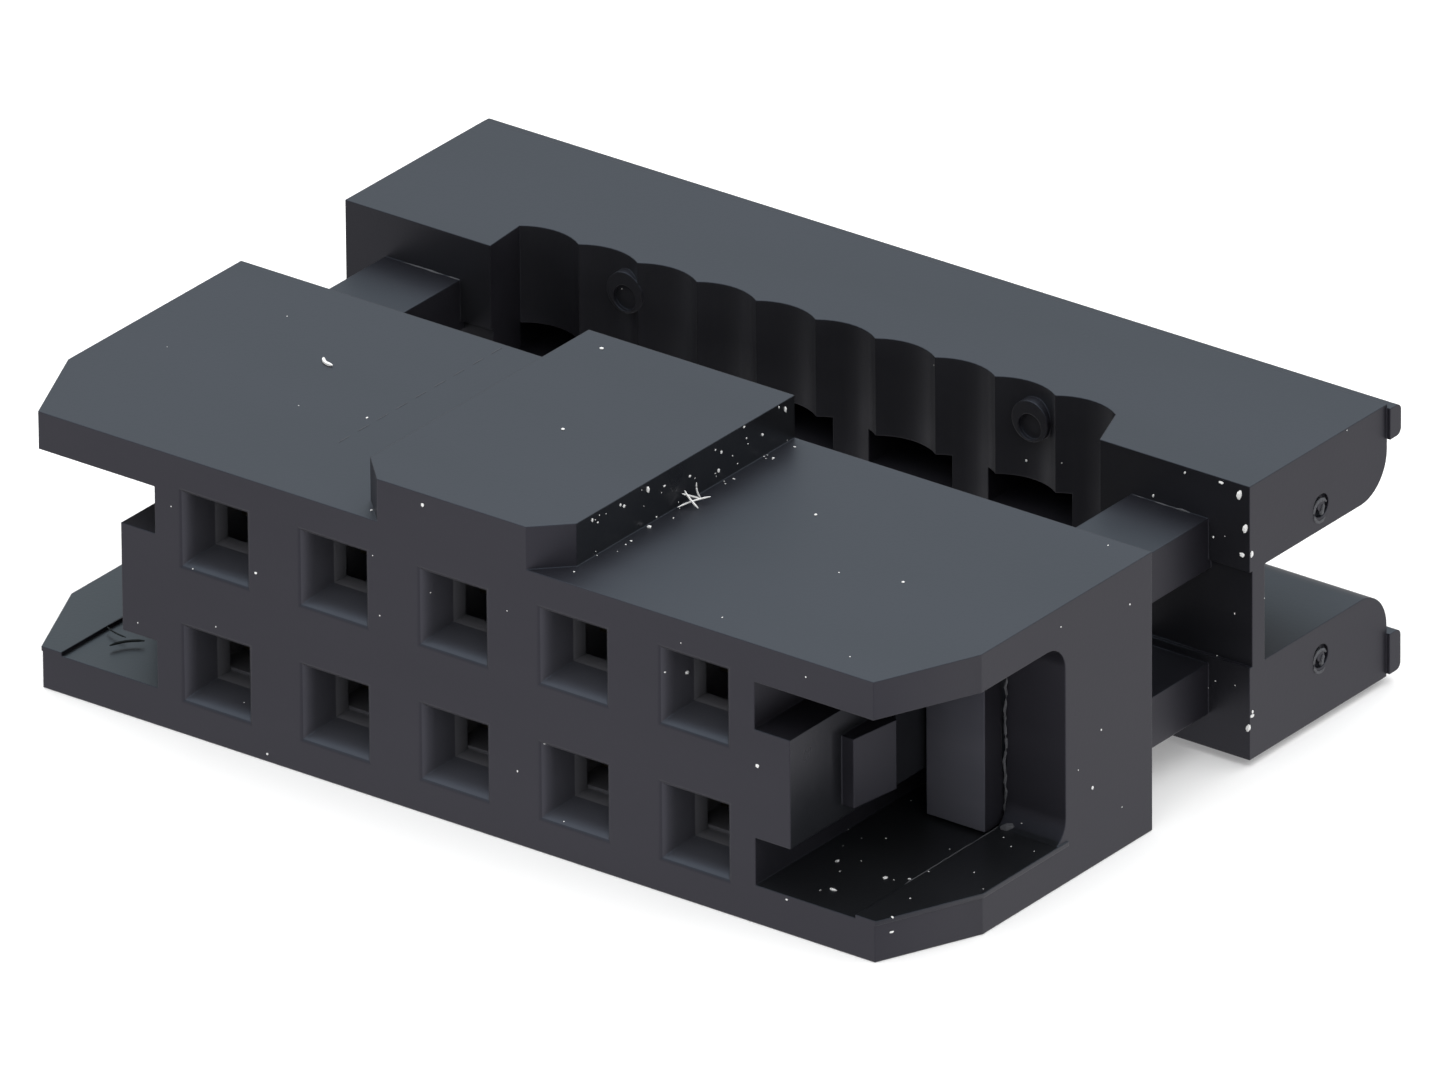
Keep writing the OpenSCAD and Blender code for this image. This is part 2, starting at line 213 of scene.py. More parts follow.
# Painted light: the lead-ins and the front faces of the arm tips are painted paler, for the light
# that they catch.
lead_in_light_plastic = moulded_plastic("black_polyester_painted_lead_in_light", "2e2e32", "36363b")
arm_tip_light_plastic = moulded_plastic("black_polyester_painted_arm_tip_light", "44444b", "53535a", roughness=0.50)
print("Plastics:", len(bpy.data.materials), "with", housing_plastic.name, "first")

# %% [markdown]
# ## Plated bronze, stamped
#
# The contacts are stamped from phosphor bronze strip and plated with tin. The rolling
# marks run along the strip, so the noise is stretched along y.


# %% Metal
def plated_strip(name):
    """Dull plated metal with fine rolling marks along y."""
    material, tree = new_material(name)
    place = node(tree, "ShaderNodeTexCoord").outputs["Object"]
    drawn = node(tree, "ShaderNodeMapping", Vector=place, Scale=(12.0, 1.0, 12.0))
    lines = node(tree, "ShaderNodeTexNoise", Vector=drawn.outputs[0], Scale=1 / (0.4 * MM),
                 Detail=3.0)
    patch = node(tree, "ShaderNodeTexNoise", Vector=place, Scale=1 / (0.7 * MM), Detail=2.0)
    tone = node(tree, "ShaderNodeMapRange", Value=patch.outputs[0], From_Min=0.35, From_Max=0.65)
    colour = node(tree, "ShaderNodeMix", {"data_type": "RGBA"}, Factor=tone.outputs[0],
                  i6=linear("96886a"), i7=linear("a69a80"))
    gloss = node(tree, "ShaderNodeMapRange", Value=lines.outputs[0], To_Min=0.30, To_Max=0.48)
    edges = node(tree, "ShaderNodeBevel", {"samples": 4}, Radius=0.02 * MM)
    bump = node(tree, "ShaderNodeBump", Strength=0.2, Distance=0.003 * MM, Height=lines.outputs[0],
                Normal=edges.outputs[0])
    shader = node(tree, "ShaderNodeBsdfPrincipled", Base_Color=colour.outputs[2], Metallic=1.0,
                  Roughness=gloss.outputs[0], Normal=bump.outputs[0])
    node(tree, "ShaderNodeOutputMaterial", Surface=shader.outputs[0])
    return material


contact_metal = plated_strip("tinned_phosphor_bronze")
for name in contact_names:
    nodes[name].data.materials.clear()
    nodes[name].data.materials.append(contact_metal)
print("Metal:", contact_metal.name, "on", len(contact_names), "contacts")

# %% [markdown]
# ## Small shapes that the mould adds
#
# Three sorts of small shape are worked into the mouldings before their edges are rounded:
# a sill where each window cuts through the side wall, a web that closes the relief in each
# crossbar, and a dish in each ejector mark.


# %% Small shapes
def new_object(name, mesh):
    """An object in the scene that shows a mesh."""
    made = bpy.data.objects.new(name, mesh)
    bpy.context.scene.collection.objects.link(made)
    return made


def finished(work):
    """Turns a bmesh into an object, with its faces looking outwards."""
    bmesh.ops.recalc_face_normals(work, faces=work.faces)
    mesh = bpy.data.meshes.new("tool")
    work.to_mesh(mesh)
    work.free()
    return new_object("tool", mesh)


def prism(outline, low, high):
    """An upright prism over an outline of x, y points, between two heights."""
    work = bmesh.new()
    face = work.faces.new([work.verts.new((x, y, low)) for x, y in outline])
    top = bmesh.ops.extrude_face_region(work, geom=[face])["geom"]
    bmesh.ops.translate(work, vec=(0, 0, high - low),
                        verts=[v for v in top if isinstance(v, bmesh.types.BMVert)])
    return finished(work)


def drum(centre, radius, depth):
    """A short cylinder along y, from its centre point towards the back."""
    work = bmesh.new()
    turn = Matrix.Translation(centre) @ Matrix.Rotation(math.radians(90), 4, "X")
    bmesh.ops.create_cone(work, segments=32, radius1=radius, radius2=radius, depth=2 * depth,
                          cap_ends=True, matrix=turn)
    return finished(work)


def mirrored(points):
    """The same outline on the left side."""
    return [(-x, y) for x, y in reversed(points)]


# All in mm. The outlines are those of the right side.
SILL = [(6.64, 0.0), (6.98, 0.0), (7.64, 1.50), (7.64, 3.40), (6.64, 3.40)]
SILL_LOW, SILL_HIGH = -1.52, -1.45
WEB = [(5.63, 2.95), (5.96, 2.95), (5.96, 3.33), (5.63, 3.33)]
WEB_LOW, WEB_HIGH = -0.80, 0.64
EJECTOR_X, EJECTOR_Y, EJECTOR_Z = 3.40, 8.30, 1.52
DISH_RADIUS, DISH_DEPTH = 0.19, 0.06

sills = [prism(outline, SILL_LOW, SILL_HIGH) for outline in (SILL, mirrored(SILL))]
webs = [prism(outline, WEB_LOW, WEB_HIGH) for outline in (WEB, mirrored(WEB))]
dishes = [drum((x, EJECTOR_Y, z), DISH_RADIUS, DISH_DEPTH)
          for x in (-EJECTOR_X, EJECTOR_X) for z in (-EJECTOR_Z, EJECTOR_Z)]
print("Shapes to add:", len(sills + webs), "to cut:", len(dishes))

# %% [markdown]
# ## Clean faces
#
# CAD edges are perfectly sharp, and no mould is. Rounding them needs clean faces. The mesh
# from the CAD is all triangles, so its flat faces are merged first. A large face with holes
# in it can fold over itself when its edges are rounded, so such a face is cut up again for
# the rounding, and joined once more behind it so that the light runs smoothly over it.


# %% Clean faces
SMALLEST_FACE = 1e-5  # mm2, below which a face has no sure direction


@contextmanager
def edited(mesh):
    """The mesh as a bmesh that is written back in the end."""
    work = bmesh.new()
    work.from_mesh(mesh)
    yield work
    work.to_mesh(mesh)
    work.free()


def merge_faces(mesh):
    """Welds the corners and merges flat neighbours, so that a box has six faces again."""
    with edited(mesh) as work:
        bmesh.ops.remove_doubles(work, verts=work.verts, dist=0.0005)
        bmesh.ops.dissolve_limit(work, angle_limit=math.radians(0.5), verts=work.verts,
                                 edges=work.edges)


def split_large_faces(mesh, most_corners=8):
    """Cuts faces with many corners into triangles."""
    with edited(mesh) as work:
        large = [face for face in work.faces if len(face.verts) > most_corners]
        bmesh.ops.triangulate(work, faces=large)


def join_flat_faces(mesh):
    """Takes out the edges that split a flat face, and leaves the rounded edges alone."""
    flat = math.radians(0.05)
    with edited(mesh) as work:
        sound = {face for face in work.faces if face.calc_area() > SMALLEST_FACE}
        splits = [edge for edge in work.edges
                  if len(edge.link_faces) == 2 and sound.issuperset(edge.link_faces)
                  and edge.calc_face_angle() < flat]
        bmesh.ops.dissolve_limit(work, angle_limit=flat, verts=[], edges=splits)


# %% [markdown]
# ## Softer mouths
#
# Each of the ten mouths has a square lead-in that guides a pin to its bore. In the CAD it
# is four flat slopes. A mould gives it a lip that curls out of the front face, so the
# slopes are taken out here and built again from rings of four corners, which follow a
# short curve and then run straight down to the bore.


# %% Softer mouths
PITCH = 2.0
ROW_Z = PITCH / 2
WAYS = [(PITCH * column, z) for z in (-ROW_Z, ROW_Z) for column in range(-2, 3)]
CAD_MOUTH_HALF = 0.56
MOUTH_HALF = 0.61
BORE_HALF = 0.37
LEAD_IN_DEPTH = 0.50


def lead_in_profile(steps=6):
    """Half width and depth of a lead-in: a curve out of the front, then a straight slope."""
    lip, knee, foot = Vector((MOUTH_HALF, 0.0)), Vector((0.53, 0.0)), Vector((0.46, 0.20))
    for step in range(1, steps + 1):
        t = step / steps
        yield lip * (1 - t) ** 2 + knee * 2 * t * (1 - t) + foot * t ** 2


def square(x, z, half, depth):
    """The four corners of an upright square, at some depth behind the front."""
    return [Vector((x + across * half, depth, z + up * half))
            for across, up in ((-1, -1), (1, -1), (1, 1), (-1, 1))]


def nearest_verts(work, places):
    """The corner of the mesh that is nearest to each place."""
    return [min(work.verts, key=lambda vert: (vert.co - place).length) for place in places]


def take_out_slopes(work, ends):
    """Deletes the flat slopes between these corners, and the edges that they leave behind."""
    slopes = [face for face in work.faces if len(face.verts) == 4 and set(face.verts) <= ends]
    bmesh.ops.delete(work, geom=slopes, context="FACES_ONLY")
    loose = [edge for edge in work.edges if not edge.link_faces]
    bmesh.ops.delete(work, geom=loose, context="EDGES")


def join_rings(work, rings):
    """Fills the bands between rings that have the same number of corners."""
    for near, far in zip(rings, rings[1:]):
        for i in range(len(near)):
            j = (i + 1) % len(near)
            work.faces.new((near[i], near[j], far[j], far[i]))


def soft_mouths(mesh):
    """Rebuilds the slopes of the lead-ins with a rounded lip, in rings of four corners."""
    with edited(mesh) as work:
        for x, z in WAYS:
            rim = nearest_verts(work, square(x, z, CAD_MOUTH_HALF, 0))
            bore = nearest_verts(work, square(x, z, BORE_HALF, LEAD_IN_DEPTH))
            take_out_slopes(work, set(rim + bore))
            for vert, place in zip(rim, square(x, z, MOUTH_HALF, 0)):
                vert.co = place
            rings = [rim]
            for half, depth in lead_in_profile():
                rings.append([work.verts.new(place) for place in square(x, z, half, depth)])
            rings.append(bore)
            join_rings(work, rings)
        bmesh.ops.recalc_face_normals(work, faces=work.faces)


# %% [markdown]
# ## Rounded copies
#
# A radius of a few hundredths of a millimetre catches the thin line of light that makes a
# black part readable. The copy is worked on in millimetres, because Blender's tools expect
# shapes near one unit in size. Weighted normals keep the shading of the flat faces flat
# right up to the rounding.


# %% Rounded copies
EDGE_RADIUS = 0.035  # mm


def baked(draft):
    """The object's mesh with its modifiers worked in."""
    graph = bpy.context.evaluated_depsgraph_get()
    mesh = bpy.data.meshes.new_from_object(draft.evaluated_get(graph))
    draft.modifiers.clear()
    draft.data = mesh
    return mesh


def rounded_copy(source, name, material, extras=(), cuts=(), finish=None):
    """A copy of a CAD node with its small shapes worked in and its edges rounded."""
    mesh = nodes[source].data.copy()
    mesh.transform(TO_PART)
    merge_faces(mesh)
    draft = new_object(name, mesh)
    for operation, tools in (("UNION", extras), ("DIFFERENCE", cuts)):
        for tool in tools:
            change = draft.modifiers.new(operation, "BOOLEAN")
            change.operation = operation
            change.solver = "EXACT"
            change.object = tool
    mesh = baked(draft)
    for tool in (*extras, *cuts):
        bpy.data.objects.remove(tool)
    merge_faces(mesh)
    if finish:
        finish(mesh)
    split_large_faces(mesh)
    bevel = draft.modifiers.new("edges", "BEVEL")
    bevel.width = EDGE_RADIUS
    bevel.segments = 2
    bevel.limit_method = "ANGLE"
    bevel.angle_limit = math.radians(40)
    bevel.miter_outer = "MITER_ARC"
    mesh = baked(draft)
    join_flat_faces(mesh)
    for face in mesh.polygons:
        face.use_smooth = True
    flat = draft.modifiers.new("flat faces", "WEIGHTED_NORMAL")
    flat.mode = "FACE_AREA"
    flat.weight = 100
    mesh = baked(draft)
    mesh.materials.clear()
    mesh.materials.append(material)
    return draft


# %% [markdown]
# ## Housing and cover
#
# Each moulding takes the place of its CAD node. Some of its faces then get another plastic that
# paints
# shade or light on them: a test is given the middle of a face, with x and z without their signs,
# and its normal.


# %% Housing and cover
def paint(piece, material, wanted):
    """Gives another material to the faces that pass the test."""
    piece.data.materials.append(material)
    index = len(piece.data.materials) - 1
    for face in piece.data.polygons:
        x, y, z = face.center
        if wanted(abs(x), y, abs(z), face.normal):
            face.material_index = index


def into_place(piece, body):
    """Puts a piece that was made in mm on the part where the CAD node stands."""
    piece.data.transform(TO_FRAME)
    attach(piece, body)


def in_a_bore(x, y, z, normal):
    return x < 4.9 and 0.52 < y < 5.2 and z < 1.9


def on_a_lead_in(x, y, z, normal):
    return x < 4.9 and 0.03 < y < 0.49 and z < 1.9


def in_a_slot(x, y, z, normal):
    """Where shade is painted: the plates behind the windows, the right side of the key and the
    sides of the rails.
    """
    plate = x > 5.0 and y > 0.3 and 1.4 < z < 1.6
    key = 1.6 < x < 1.8 and z > 2.1 and normal.x > 0.9
    rail = 5.5 < x < 5.62 and y > 0.02 and z < 1.5
    return plate or key or rail


def facing_the_gap(x, y, z, normal):
    return 7.5 < y < 9.3 and normal.y < -0.2


def on_an_arm_tip(x, y, z, normal):
    return y < 2.97 and normal.y < -0.9


housing = rounded_copy("housing", "housing_moulding", housing_plastic, extras=sills,
                       finish=soft_mouths)
# Painted shade in the bores.
paint(housing, bore_shade_plastic, in_a_bore)
# Painted light on the lead-ins.
paint(housing, lead_in_light_plastic, on_a_lead_in)
# Painted shade behind the windows, on the key's right side and on the rails.
paint(housing, slot_shade_plastic, in_a_slot)
into_place(housing, "housing")
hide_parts("housing")

cover = rounded_copy("cover", "cover_moulding", cover_plastic, extras=webs, cuts=dishes)
# Painted shade on the cover's faces towards the gap.
paint(cover, gap_shade_plastic, facing_the_gap)
# Painted light on the front faces of the arm tips.
paint(cover, arm_tip_light_plastic, on_an_arm_tip)
into_place(cover, "cover")
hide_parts("cover")
print("Faces:", len(housing.data.polygons), len(cover.data.polygons))

# %% [markdown]
# ## Matte specks
#
# Dust, lint, burrs and hairs are too small to show more than one dull colour, so one recipe
# serves for all of them, with a fine noise that keeps neighbours from looking alike.


# %% Matte specks
def matte(name, shade, cloud):
    """A dull material that wavers between two colours."""
    material, tree = new_material(name)
    place = node(tree, "ShaderNodeTexCoord").outputs["Object"]
    noise = node(tree, "ShaderNodeTexNoise", Vector=place, Scale=1 / (0.03 * MM), Detail=2.0)
    colour = node(tree, "ShaderNodeMix", {"data_type": "RGBA"}, Factor=noise.outputs[0],
                  i6=linear(shade), i7=linear(cloud))
    bump = node(tree, "ShaderNodeBump", Strength=0.3, Distance=0.004 * MM, Height=noise.outputs[0])
    shader = node(tree, "ShaderNodeBsdfPrincipled", Base_Color=colour.outputs[2], Roughness=0.8,
                  Normal=bump.outputs[0])
    node(tree, "ShaderNodeOutputMaterial", Surface=shader.outputs[0])
    return material


white_dust = matte("white_dust", "dcdcdc", "f4f4f2")
pale_burr_and_highlight = matte("pale_plastic_burr_and_painted_highlight", "3e3e42", "5c5c60")
black_hair = matte("black_hair", "060606", "0b0b0b")
print("Specks:", white_dust.name, pale_burr_and_highlight.name, black_hair.name)

# %% [markdown]
# ## Dust
#
# A black part that has been handled shows every grain of dust. The grains are scattered by
# Geometry Nodes: points on the faces of a moulding, one tiny irregular grain on each, kept
# only inside a box. The same group is used for every patch, with other inputs.


# %% Dust nodes
def make_grain():
    """One irregular grain, about one millimetre across before it is scaled down."""
    rng = random.Random(4)
    work = bmesh.new()
    bmesh.ops.create_icosphere(work, subdivisions=1, radius=0.5)
    for vert in work.verts:
        vert.co *= rng.uniform(0.75, 1.2)
    return finished(work)


DUST_INPUTS = (
    ("Per mm2", "NodeSocketFloat"), ("Seed", "NodeSocketInt"),
    ("Smallest", "NodeSocketFloat"), ("Largest", "NodeSocketFloat"),
    ("Box low", "NodeSocketVector"), ("Box high", "NodeSocketVector"),
    ("Grain", "NodeSocketObject"), ("Material", "NodeSocketMaterial"))


def make_dust_group():
    """The node group that puts grains on the faces of a piece, inside a box."""
    group = bpy.data.node_groups.new("dust", "GeometryNodeTree")
    panel = group.interface
    panel.new_socket("Geometry", in_out="INPUT", socket_type="NodeSocketGeometry")
    for label, kind in DUST_INPUTS:
        panel.new_socket(label, in_out="INPUT", socket_type=kind)
    panel.new_socket("Geometry", in_out="OUTPUT", socket_type="NodeSocketGeometry")
    given = node(group, "NodeGroupInput").outputs
    per_m2 = node(group, "ShaderNodeMath", {"operation": "MULTIPLY"}, i0=given["Per mm2"],
                  i1=1 / MM ** 2)
    points = node(group, "GeometryNodeDistributePointsOnFaces", Mesh=given["Geometry"],
                  Density=per_m2.outputs[0], Seed=given["Seed"])
    # A point is inside the box if pushing it into the box does not move it.
    place = node(group, "GeometryNodeInputPosition").outputs[0]
    raised = node(group, "ShaderNodeVectorMath", {"operation": "MAXIMUM"}, i0=place,
                  i1=given["Box low"])
    pushed = node(group, "ShaderNodeVectorMath", {"operation": "MINIMUM"}, i0=raised.outputs[0],
                  i1=given["Box high"])
    moved = node(group, "ShaderNodeVectorMath", {"operation": "DISTANCE"}, i0=place,
                 i1=pushed.outputs[0])
    inside = node(group, "ShaderNodeMath", {"operation": "LESS_THAN"}, i0=moved.outputs["Value"],
                  i1=1e-7)
    # Cubing the dice makes big grains rare.
    dice = node(group, "FunctionNodeRandomValue", {"data_type": "FLOAT"}, Seed=given["Seed"])
    rare = node(group, "ShaderNodeMath", {"operation": "POWER"}, i0=dice.outputs[1], i1=3.0)
    size = node(group, "ShaderNodeMapRange", Value=rare.outputs[0], To_Min=given["Smallest"],
                To_Max=given["Largest"])
    stretch = node(group, "FunctionNodeRandomValue", {"data_type": "FLOAT_VECTOR"},
                   i0=(0.6, 0.6, 0.5), i1=(1.5, 1.2, 0.9))
    scale = node(group, "ShaderNodeVectorMath", {"operation": "SCALE"}, i0=stretch.outputs[0],
                 Scale=size.outputs[0])
    grain = node(group, "GeometryNodeObjectInfo", Object=given["Grain"])
    grains = node(group, "GeometryNodeInstanceOnPoints", Points=points.outputs["Points"],
                  Selection=inside.outputs[0], Instance=grain.outputs["Geometry"],
                  Rotation=points.outputs["Rotation"], Scale=scale.outputs[0])
    real = node(group, "GeometryNodeRealizeInstances", Geometry=grains.outputs[0])
    painted = node(group, "GeometryNodeSetMaterial", Geometry=real.outputs[0],
                   Material=given["Material"])
    node(group, "NodeGroupOutput", Geometry=painted.outputs[0])
    return group


dust_group = make_dust_group()
grain_object = make_grain()
print("Dust nodes:", len(dust_group.nodes))

# %% [markdown]
# ## Patches of dust
#
# With the group ready, a patch is one line: its box from the low to the high corner, how
# many grains to the square millimetre, which seed, and how small and how big in mm.


# %% Patches of dust
def add_dust(name, piece, low, high, per_mm2, seed, sizes=(0.018, 0.085)):
    """Dust on a piece inside a box of the part, given in mm."""
    draft = new_object(name, piece.data)
    dust = draft.modifiers.new("dust", "NODES")
    dust.node_group = dust_group
    values = {
        "Per mm2": per_mm2, "Seed": seed,
        "Smallest": sizes[0] * MM, "Largest": sizes[1] * MM,
        "Box low": TO_FRAME @ Vector(low), "Box high": TO_FRAME @ Vector(high),
        "Grain": grain_object, "Material": white_dust,
    }
    for item in dust_group.interface.items_tree:
        if item.in_out == "INPUT" and item.name in values:
            dust[item.identifier] = values[item.name]
    mesh = baked(draft)
    mesh.name = name
    mesh.materials.clear()
    mesh.materials.append(white_dust)
    return draft


def join_pieces(pieces, name):
    """One object from several that share a material."""
    work = bmesh.new()
    for piece in pieces:
        work.from_mesh(piece.data)
    mesh = bpy.data.meshes.new(name)
    work.to_mesh(mesh)
    work.free()
    mesh.materials.append(pieces[0].data.materials[0])
    for piece in pieces:
        bpy.data.objects.remove(piece)
    return new_object(name, mesh)


housing_dust = join_pieces([
    add_dust("front", housing, (-7.6, -0.02, -2.0), (7.6, 0.45, 2.1), 0.40, 3),
    add_dust("top", housing, (-7.6, 0.0, 2.0), (7.6, 5.3, 2.7), 0.16, 8),
    add_dust("key_side", housing, (1.6, 0.3, 2.02), (1.9, 5.2, 2.66), 11.0, 5, (0.02, 0.11)),
    add_dust("right_side", housing, (7.5, 0.6, -2.0), (7.7, 5.3, 2.0), 0.7, 11),
    add_dust("window_floor", housing, (5.0, 0.2, -1.6), (7.6, 3.3, -1.2), 3.0, 2),
    add_dust("left_side", housing, (-7.7, 0.6, -2.0), (-7.5, 5.3, 2.0), 0.5, 21),
], "housing_dust")
cover_dust = join_pieces([
    add_dust("cover_top", cover, (-7.6, 7.6, 1.95), (7.6, 11.0, 2.1), 0.22, 6),
    add_dust("bed", cover, (-5.3, 7.9, -2.0), (5.3, 9.0, 2.02), 0.35, 9),
    add_dust("right_lip", cover, (6.65, 7.5, -2.0), (7.7, 7.75, 2.1), 3.0, 13),
    add_dust("ends", cover, (-7.7, 7.6, -2.1), (7.7, 11.0, 2.1), 0.10, 17),
], "cover_dust")
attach(housing_dust, "housing")
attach(cover_dust, "cover")
grain_count = sum(len(piece.data.vertices) for piece in (housing_dust, cover_dust))
print("Grains:", grain_count // len(grain_object.data.vertices))
bpy.data.objects.remove(grain_object)

# %% [markdown]
# ## Threads
#
# Everything that is long and thin here is the same shape: a tapering tube along a path. A
# white one is a fibre, a black one a hair, and a pale plastic one a burr where two halves
# of the mould met, where a gate was broken off, or a painted highlight along an edge.


# %% Threads
def arc_path(start, along, turn_to, length, bend, steps=6):
    """Points that leave start in one direction and bend towards another, by an angle."""
    along = Vector(along).normalized()
    across = Vector(turn_to) - along * along.dot(Vector(turn_to))
    across.normalize()
    points = [Vector(start)]
    for step in range(steps):
        angle = bend * (step + 0.5) / steps
        heading = along * math.cos(angle) + across * math.sin(angle)
        points.append(points[-1] + heading * length / steps)
    return points


def rough_path(start, end, jitter, steps, seed):
    """Points on a straight line, each a little off it."""
    rng = random.Random(seed)
    start, end = Vector(start), Vector(end)
    return [start.lerp(end, step / steps) + Vector([rng.uniform(-jitter, jitter) for _ in range(3)])
            for step in range(steps + 1)]


def tube(work, points, radius, sides=5):
    """Adds a tube along the points, thinner at both ends."""
    rings = []
    for i, point in enumerate(points):
        heading = points[min(i + 1, len(points) - 1)] - points[max(i - 1, 0)]
        turn = heading.to_track_quat("Z", "Y")
        size = radius * (0.45 if i in (0, len(points) - 1) else 1.0)
        ring = []
        for side in range(sides):
            angle = 2 * math.pi * side / sides
            offset = Vector((math.cos(angle) * size, math.sin(angle) * size, 0))
            ring.append(work.verts.new(point + turn @ offset))
        rings.append(ring)
    join_rings(work, rings)
    work.faces.new(list(reversed(rings[0])))
    work.faces.new(rings[-1])


def add_threads(name, threads, material, body):
    """One object from many tubes, each given as a path and a radius in mm."""
    work = bmesh.new()
    for points, radius in threads:
        tube(work, points, radius)
    piece = finished(work)
    piece.name = name
    piece.data.name = name
    piece.data.transform(TO_FRAME)
    piece.data.materials.append(material)
    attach(piece, body)
    print(name + ":", len(threads))


# %% [markdown]
# ## Lint, hairs and burrs
#
# Each thread is a path and a radius in mm. An arc leaves its first point in one direction
# and bends towards another. A rough path runs straight, and each of its points is a little
# off the line.

# %% Lint, hairs and burrs
RIGHT, BACK, UP = Vector((1, 0, 0)), Vector((0, 1, 0)), Vector((0, 0, 1))
WINDOW_EDGE_X = 6.635  # mm, the inner edge of a window's rear wall
GAP_Y = 7.565  # where the cover faces the gap
GATE_X, GATE_Y, GATE_Z, GATE_RADIUS = 7.57, 9.18, 1.12, 0.16

# A knot of lint at the foot of the key, and a curl on the left plate.
add_threads("housing_lint", [
    (arc_path((1.78, 2.62, 2.10), (0.2, 1.0, 0.1), RIGHT, 0.50, 0.5), 0.012),
    (arc_path((1.76, 2.80, 2.27), (0.7, -0.2, -0.6), BACK, 0.30, 0.4), 0.014),
    (arc_path((1.84, 3.05, 2.08), (-0.2, -0.4, 0.6), UP, 0.26, 0.8), 0.012),
    (arc_path((1.78, 2.72, 2.26), (0.1, 0.9, -0.5), RIGHT, 0.34, 0.3), 0.012),
    (arc_path((-4.84, 3.52, 2.08), (0.5, -1.0, 0.0), RIGHT, 0.28, 1.3), 0.026),
], white_dust, "housing")

# Two dark hairs in the left window.
add_threads("hair", [
    (arc_path((-6.22, 0.52, -1.43), (0.2, 1.0, 0.0), RIGHT, 0.50, 0.9), 0.020),
    (arc_path((-6.60, 0.95, -1.43), (0.9, -0.5, 0.0), BACK, 0.42, 0.5), 0.012),
], black_hair, "housing")

# A dashed scratch on the left plate, burrs along the inner edges of both windows, and a
# chip in each lower corner.
burrs = [(arc_path((-3.12, 1.60 + 0.42 * i, 2.061), BACK, RIGHT, 0.26, 0.0), 0.005)
         for i in range(9)]
for side in (-1, 1):
    x = WINDOW_EDGE_X * side
    near, far = x + 0.06 * side, x + 0.24 * side
    burrs += [
        (rough_path((x, 3.35, -1.42), (x, 3.35, 1.42), 0.022, 26, 2 + side), 0.022),
        (rough_path((x, 1.10, -1.45), (x, 3.30, -1.45), 0.006, 20, 5 + side), 0.006),
        (rough_path((near, 3.16, -1.42), (far, 3.30, -1.42), 0.015, 3, 8 + side), 0.055),
    ]
add_threads("housing_burrs", burrs, pale_burr_and_highlight, "housing")

# A painted highlight: a pale line along the top edge where each latch arm runs into the cover.
roots = []
for side in (-1, 1):
    start, end = (5.64 * side, GAP_Y, 1.44), (6.60 * side, GAP_Y, 1.44)
    roots.append((rough_path(start, end, 0.012, 8, 30 + side), 0.026))
add_threads("arm_root_burrs", roots, pale_burr_and_highlight, "cover")

# What the gates leave on the cover's ends: an open ring and a broken stub.
ring_angles = [0.6 + 0.48 * i for i in range(11)]
scars = []
for x in (-GATE_X, GATE_X):
    for z in (-GATE_Z, GATE_Z):
        middle = Vector((x, GATE_Y, z))
        ring = [middle + (BACK * math.cos(angle) + UP * math.sin(angle)) * GATE_RADIUS
                for angle in ring_angles]
        scars.append((ring, 0.028))
        scars.append((arc_path((x, 9.20, z - 0.07), UP, BACK, 0.16, 0.6), 0.034))
add_threads("gate_scars", scars, pale_burr_and_highlight, "cover")

# Bright chips of dust that cling to the cover's corners: the middle and radius of each.
CHIPS = (
    (7.40, 7.57, 1.95, 0.045),
    (7.50, 7.56, 1.48, 0.040),
    (7.57, 7.60, 1.10, 0.030),
    (6.51, 7.57, 2.02, 0.018),
    (5.99, 7.56, 1.53, 0.016),
    (6.88, 7.56, -1.08, 0.018),
    (7.55, 7.56, -1.47, 0.034),
    (-6.96, 8.59, 2.035, 0.022),
)
chips = [(arc_path((x, y, z - 1.6 * radius), UP, RIGHT, 3.2 * radius, 0.5, 3), radius)
         for x, y, z, radius in CHIPS]
add_threads("cover_chips", chips, white_dust, "cover")

# %% [markdown]
# ## Table
#
# The object lies on a white table. A black part shows little but reflections, so what
# surrounds it matters more than any lamp. The part mirrors the table as if it were lit
# evenly from below, while the eye sees plain white paper with a soft shadow on it. From
# below, the table is clear, so that the underside can be seen too.


# %% Table
def seen_directly(tree):
    """1 for what the eye sees, also through glass, and 0 for what lights or is mirrored."""
    rays = node(tree, "ShaderNodeLightPath").outputs
    return node(tree, "ShaderNodeMath", {"operation": "MAXIMUM"}, i0=rays["Is Camera Ray"],
                i1=rays["Is Transmission Ray"]).outputs[0]


def make_table():
    """A white table just under the part."""
    bpy.ops.mesh.primitive_plane_add(size=2.0, location=(0, 0, cad_box[0].z - 0.01 * MM))
    table = bpy.context.object
    table.name = "table"
    material, tree = new_material("white_table")
    lift = node(tree, "ShaderNodeMath", {"operation": "MULTIPLY"}, i0=seen_directly(tree), i1=0.22)
    paper = node(tree, "ShaderNodeBsdfDiffuse", Color=(0.80, 0.80, 0.80, 1))
    glow = node(tree, "ShaderNodeEmission", Strength=lift.outputs[0])
    both = node(tree, "ShaderNodeAddShader", i0=paper.outputs[0], i1=glow.outputs[0])
    mirrored_ray = node(tree, "ShaderNodeLightPath").outputs["Is Glossy Ray"]
    backlit = node(tree, "ShaderNodeEmission", Strength=1.0)
    surface = node(tree, "ShaderNodeMixShader", i0=mirrored_ray, i1=both.outputs[0],
                   i2=backlit.outputs[0])
    below = node(tree, "ShaderNodeNewGeometry").outputs["Backfacing"]
    clear = node(tree, "ShaderNodeBsdfTransparent")
    one_sided = node(tree, "ShaderNodeMixShader", i0=below, i1=surface.outputs[0],
                     i2=clear.outputs[0])
    node(tree, "ShaderNodeOutputMaterial", Surface=one_sided.outputs[0])
    table.data.materials.append(material)


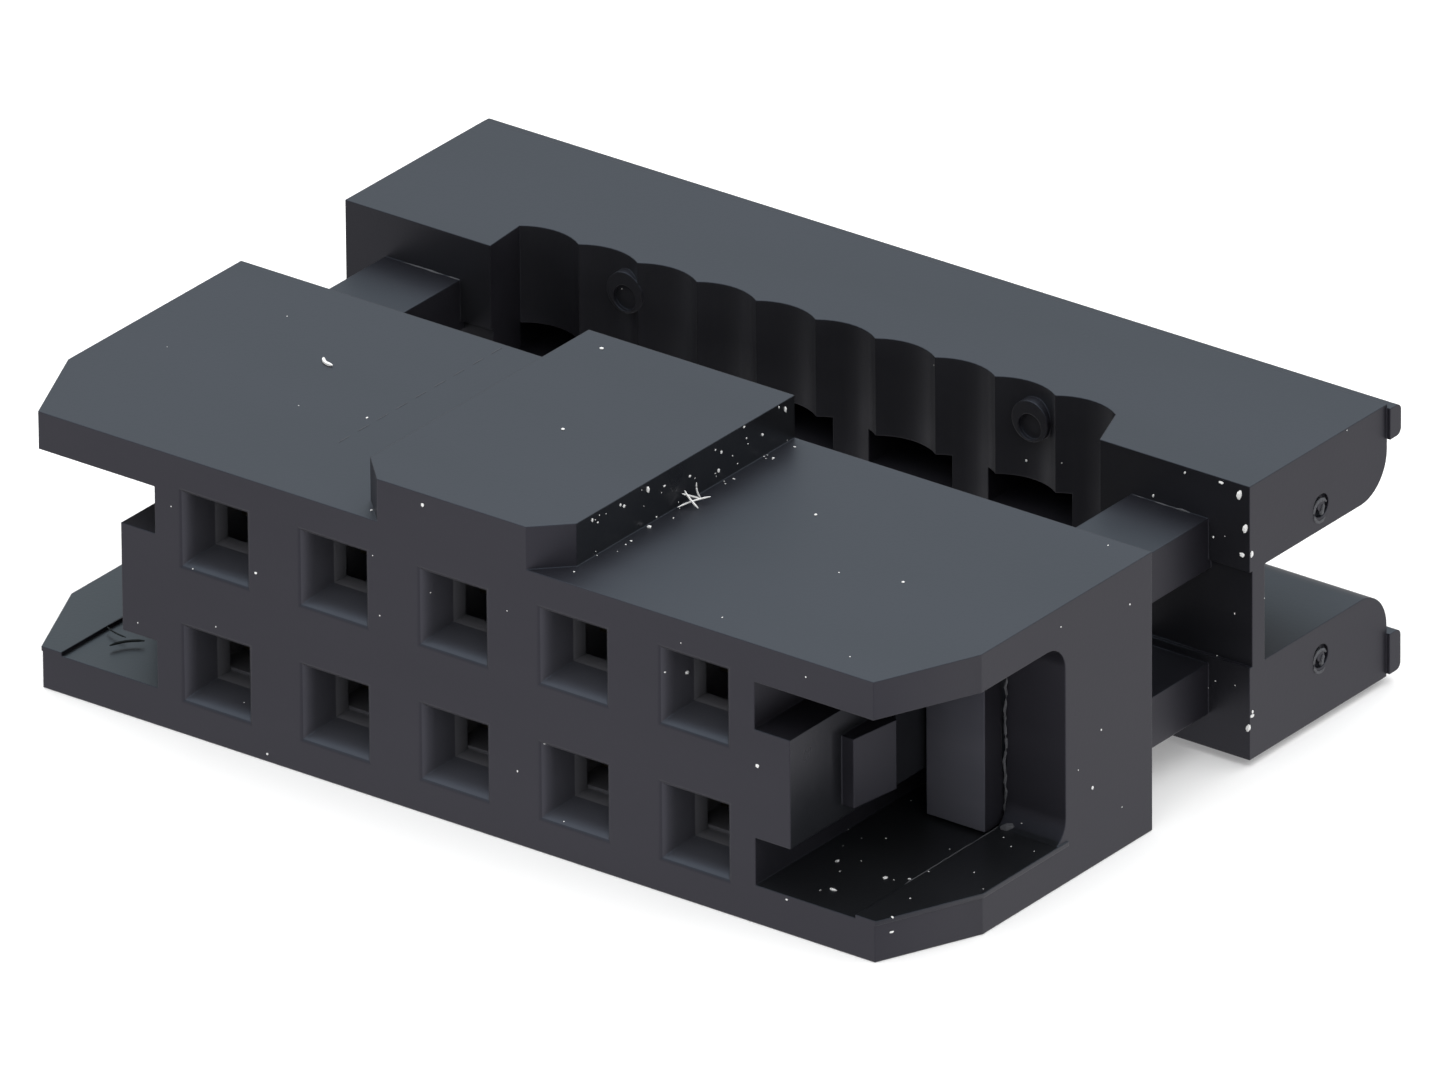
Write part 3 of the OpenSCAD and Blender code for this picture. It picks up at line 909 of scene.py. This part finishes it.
make_table()
print("Table: white paper from above, clear from below")

# %% [markdown]
# ## Light
#
# Soft white light comes from all round, brightest overhead, and that gives the top, the
# front and the side their three different greys. The sky overhead is a little bluer than
# the walls, which is why the tops look blue-grey. The eye itself sees plain white. One
# wide soft lamp overhead gives the table its shadow.


# %% Light
def make_world():
    """White walls under a brighter, bluer sky."""
    world = bpy.data.worlds.new("white_room")
    world.use_nodes = True
    tree = world.node_tree
    tree.nodes.clear()
    heading = node(tree, "ShaderNodeTexCoord").outputs["Generated"]
    height = node(tree, "ShaderNodeSeparateXYZ", Vector=heading).outputs["Z"]
    power = node(tree, "ShaderNodeMapRange", {"interpolation_type": "SMOOTHSTEP"}, Value=height,
                 From_Min=0.3, From_Max=0.9, To_Min=0.64, To_Max=2.10)
    strength = node(tree, "ShaderNodeMix", i0=seen_directly(tree), i2=power.outputs[0], i3=1.0)
    # Only what the part mirrors is tinted.
    mirrored_ray = node(tree, "ShaderNodeLightPath").outputs["Is Glossy Ray"]
    high = node(tree, "ShaderNodeMapRange", Value=height, From_Min=0.1, From_Max=0.6,
                To_Max=mirrored_ray)
    tint = node(tree, "ShaderNodeMix", {"data_type": "RGBA"}, Factor=high.outputs[0],
                i6=linear("ffffff"), i7=linear("dcf8ff"))
    light = node(tree, "ShaderNodeBackground", Color=tint.outputs[2], Strength=strength.outputs[0])
    node(tree, "ShaderNodeOutputWorld", Surface=light.outputs[0])
    bpy.context.scene.world = world


def make_lamp(name, size, place, energy):
    """A round soft lamp that shines at the part."""
    data = bpy.data.lights.new(name, "AREA")
    data.shape = "DISK"
    data.size = size
    data.energy = energy
    lamp = bpy.data.objects.new(name, data)
    bpy.context.scene.collection.objects.link(lamp)
    lamp.location = place
    lamp.rotation_euler = Vector(place).to_track_quat("Z", "Y").to_euler()


make_world()
make_lamp("softbox", size=0.30, place=(-0.10, 0.15, 0.35), energy=0.25)
bpy.context.scene.view_settings.view_transform = "Standard"
print("Light:", bpy.context.scene.world.name, "and", len(bpy.data.lights), "lamp")
